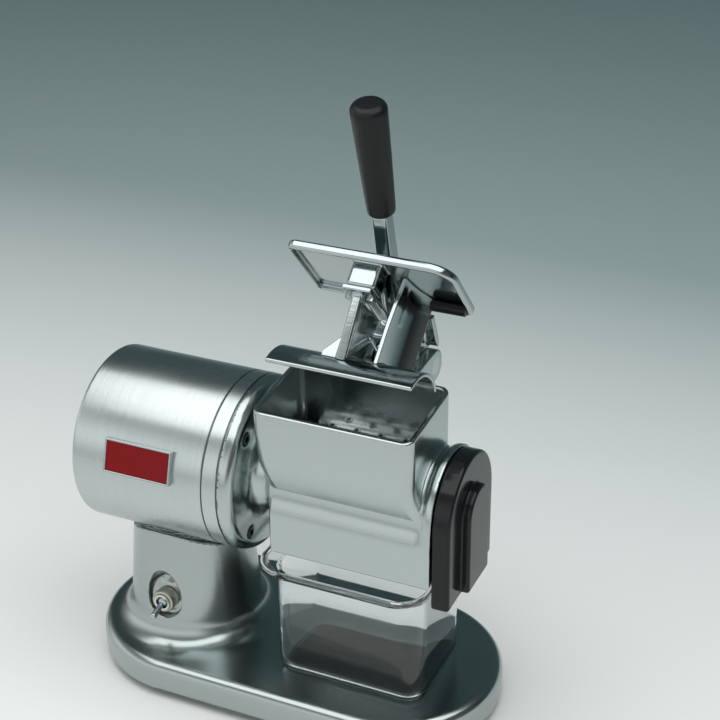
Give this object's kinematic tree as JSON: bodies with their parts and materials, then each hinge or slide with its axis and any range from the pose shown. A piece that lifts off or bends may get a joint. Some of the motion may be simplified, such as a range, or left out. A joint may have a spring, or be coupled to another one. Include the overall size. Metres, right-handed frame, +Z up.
{
  "type": "electric grater",
  "caption": "Electric grater: horizontal motor on a pedestal drives a grating drum under a hopper, with a hinged press lever, pull-off end cover and clear slide-out container.",
  "frame": {"origin": "on the table under the middle of the base", "axes": "+X along the motor axis from motor to end cover, +Y to the rear, +Z up"},
  "size_m": [0.294, 0.15, 0.418],
  "materials": {
    "cast_aluminium": "satin polished casting",
    "brushed_aluminium": "brushed around the axis",
    "polished_metal": "polished",
    "steel": "machined",
    "drum_steel": "stainless, punched teeth",
    "dark_steel": "blackened",
    "rubber": "moulded",
    "copper": "enamelled copper wire",
    "bronze": "sintered",
    "red_enamel": "smooth enamel",
    "gloss_black": "glossy",
    "satin_black": "satin",
    "clear_plastic": "clear moulded plastic",
    "pale_plastic": "moulded"
  },
  "bodies": {
    "frame": {"pedestal": "cast_aluminium", "bottom_plate": "steel", "rubber_feet": "rubber", "bottom_screws": "dark_steel", "saddle_bolts": "dark_steel", "motor_shell": "brushed_aluminium", "front_shield": "brushed_aluminium", "stator_core": "steel", "stator_winding": "copper", "rear_bearing": "steel", "front_bearing": "steel", "shaft_seal": "rubber", "grating_body": "cast_aluminium", "flange_screws": "dark_steel", "badge_frame": "polished_metal", "badge_plate": "red_enamel", "switch_body": "steel", "switch_nut": "polished_metal", "capacitor": "pale_plastic", "terminal_block": "pale_plastic", "cord_gland": "satin_black", "gland_nut": "satin_black", "pivot_pin": "steel", "pivot_ring": "dark_steel"},
    "rotor": {"motor_shaft": "steel", "rotor_core": "steel", "rotor_rings": "brushed_aluminium", "drive_pin": "steel", "grating_drum": "drum_steel", "drive_cap": "steel", "end_cap": "steel"},
    "press_lever": {"press_arm": "polished_metal", "hub_bushes": "bronze", "lid_plate": "polished_metal", "press_shoe": "polished_metal", "lid_screws": "dark_steel", "bumper_rod": "satin_black", "lever_grip": "satin_black"},
    "cover": {"end_cover": "gloss_black", "cover_bush": "bronze"},
    "drawer": {"container": "clear_plastic"},
    "toggle": {"switch_lever": "polished_metal"}
  },
  "joints": [
    {"name": "drum_spin", "type": "hinge", "parent": "frame", "child": "rotor", "pos_m": [0.05, 0, 0.16], "axis": [1, 0, 0], "continuous": true},
    {"name": "lever_swing", "type": "hinge", "parent": "frame", "child": "press_lever", "pos_m": [0.052, 0.063, 0.222], "axis": [1, 0, 0], "range_deg": [-20, 48]},
    {"name": "cover_pull", "type": "slide", "parent": "frame", "child": "cover", "axis": [1, 0, 0], "range_m": [0, 0.06]},
    {"name": "container_slide", "type": "slide", "parent": "frame", "child": "drawer", "axis": [0, -1, 0], "range_m": [0, 0.12]},
    {"name": "switch_toggle", "type": "hinge", "parent": "frame", "child": "toggle", "pos_m": [-0.082, -0.04349, 0.05742], "axis": [-1, 0, 0], "range_deg": [0, 32]}
  ]
}
